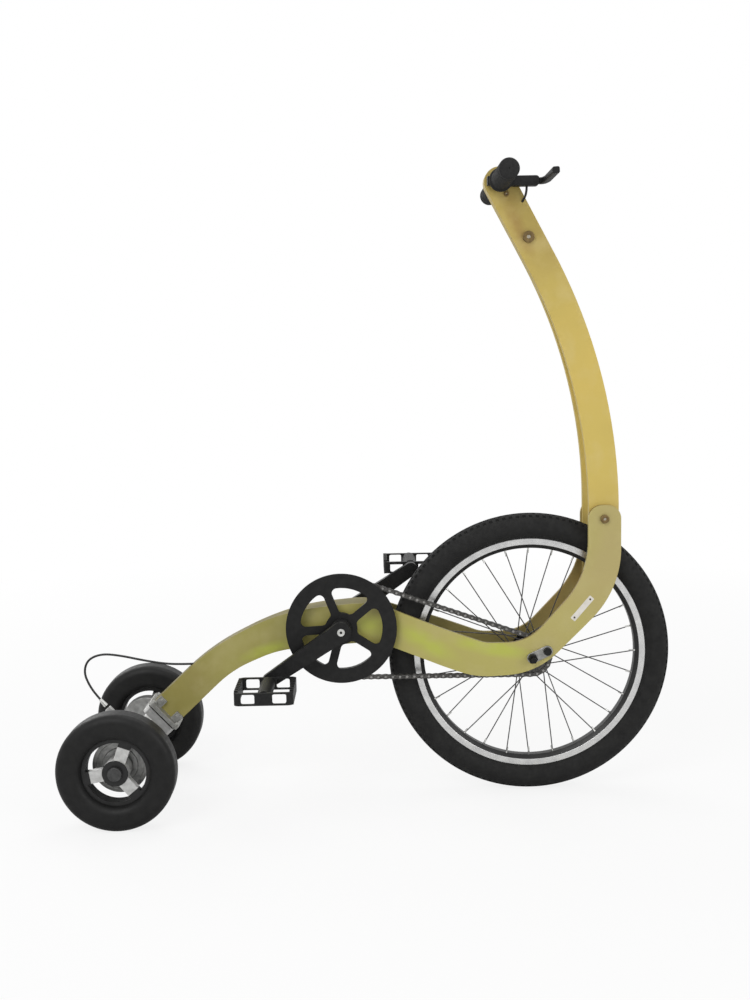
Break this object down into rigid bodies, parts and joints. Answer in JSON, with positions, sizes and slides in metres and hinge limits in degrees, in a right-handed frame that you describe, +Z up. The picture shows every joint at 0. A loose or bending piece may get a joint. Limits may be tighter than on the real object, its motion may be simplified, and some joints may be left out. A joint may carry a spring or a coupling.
{
  "type": "stand-up bicycle",
  "caption": "Stand-up three-wheeled bicycle: driven front wheel in a bent two-plate frame, tall curved upright with a short bar, and a lean-steer truck with small rear wheels.",
  "frame": {"origin": "on the floor, midway between the front and rear ends of the tyres, on the middle plane", "axes": "+X forward, +Y to the rider's left, +Z up"},
  "size_m": [1.06, 0.376, 1.096],
  "materials": {
    "frame_coat": "satin olive-gold coat",
    "upright_coat": "satin golden coat",
    "bright_steel": "zinc plated",
    "black_steel": "black oxide",
    "grip_rubber": "matt",
    "lever_plastic": "moulded",
    "cable_sleeve": "extruded sleeve",
    "chain_steel": "oiled",
    "cast_aluminium": "cast, satin",
    "bushing_rubber": "moulded",
    "tyre_rubber": "matt",
    "rim_alloy": "black with bright brake tracks",
    "spoke_steel": "drawn wire",
    "crank_black": "satin black",
    "pedal_plastic": "moulded",
    "rear_wheel_alloy": "cast, black rim and hub with bright spokes"
  },
  "bodies": {
    "frame": {"side_plate_right": "frame_coat", "side_plate_left": "frame_coat", "frame_core": "frame_coat", "upright": "upright_coat", "joint_bolts": "bright_steel", "handlebar": "black_steel", "grip_right": "grip_rubber", "grip_left": "grip_rubber", "brake_perch": "lever_plastic", "brake_lever": "lever_plastic", "brake_cable_bar": "cable_sleeve", "brake_cable_tail": "cable_sleeve", "bottom_bracket": "black_steel", "front_axle": "bright_steel", "axle_hardware": "bright_steel", "chain_tensioner": "black_steel", "chain": "chain_steel", "base_plate": "cast_aluminium", "kingpin": "bright_steel", "bushing": "bushing_rubber"},
    "front_wheel": {"front_tyre": "tyre_rubber", "front_rim": "rim_alloy", "front_hub": "black_steel", "front_spokes": "spoke_steel"},
    "freewheel": {"sprocket": "chain_steel"},
    "crankset": {"bb_spindle": "black_steel", "chainring": "crank_black", "crank_right": "crank_black", "crank_left": "crank_black", "pedal_spindles": "black_steel"},
    "pedal_r": {"pedal_right": "pedal_plastic"},
    "pedal_l": {"pedal_left": "pedal_plastic"},
    "truck": {"hanger": "cast_aluminium", "rear_axle": "bright_steel", "rear_axle_nuts": "bright_steel", "brake_drum_right": "cast_aluminium", "brake_drum_left": "cast_aluminium", "cable_stop": "cast_aluminium"},
    "rear_wheel_r": {"rear_tyre_right": "tyre_rubber", "rear_rim_right": "rear_wheel_alloy"},
    "rear_wheel_l": {"rear_tyre_left": "tyre_rubber", "rear_rim_left": "rear_wheel_alloy"}
  },
  "joints": [
    {"name": "front_wheel_spin", "type": "hinge", "parent": "frame", "child": "front_wheel", "pos_m": [0.28, 0, 0.25], "axis": [0, 1, 0], "continuous": true},
    {"name": "crank_spin", "type": "hinge", "parent": "frame", "child": "crankset", "pos_m": [-0.05315, 0, 0.308], "axis": [0, 1, 0], "continuous": true},
    {"name": "sprocket_spin", "type": "hinge", "parent": "frame", "child": "freewheel", "pos_m": [0.28, 0, 0.25], "axis": [0, 1, 0], "continuous": true},
    {"name": "pedal_right_spin", "type": "hinge", "parent": "crankset", "child": "pedal_r", "pos_m": [-0.1799, -0.136, 0.22411], "axis": [0, 1, 0], "continuous": true},
    {"name": "pedal_left_spin", "type": "hinge", "parent": "crankset", "child": "pedal_l", "pos_m": [0.0736, 0.136, 0.39189], "axis": [0, 1, 0], "continuous": true},
    {"name": "truck_steer", "type": "hinge", "parent": "frame", "child": "truck", "pos_m": [-0.43, 0, 0.1], "axis": [0.7314, 0, 0.682], "range_deg": [-20, 20], "stiffness_Nm_per_rad": 250},
    {"name": "rear_wheel_right_spin", "type": "hinge", "parent": "truck", "child": "rear_wheel_r", "pos_m": [-0.43, -0.16, 0.1], "axis": [0, 1, 0], "continuous": true},
    {"name": "rear_wheel_left_spin", "type": "hinge", "parent": "truck", "child": "rear_wheel_l", "pos_m": [-0.43, 0.16, 0.1], "axis": [0, 1, 0], "continuous": true}
  ],
  "couplings": [
    {"joint": "sprocket_spin", "follows": "crank_spin", "ratio": 2.75}
  ]
}
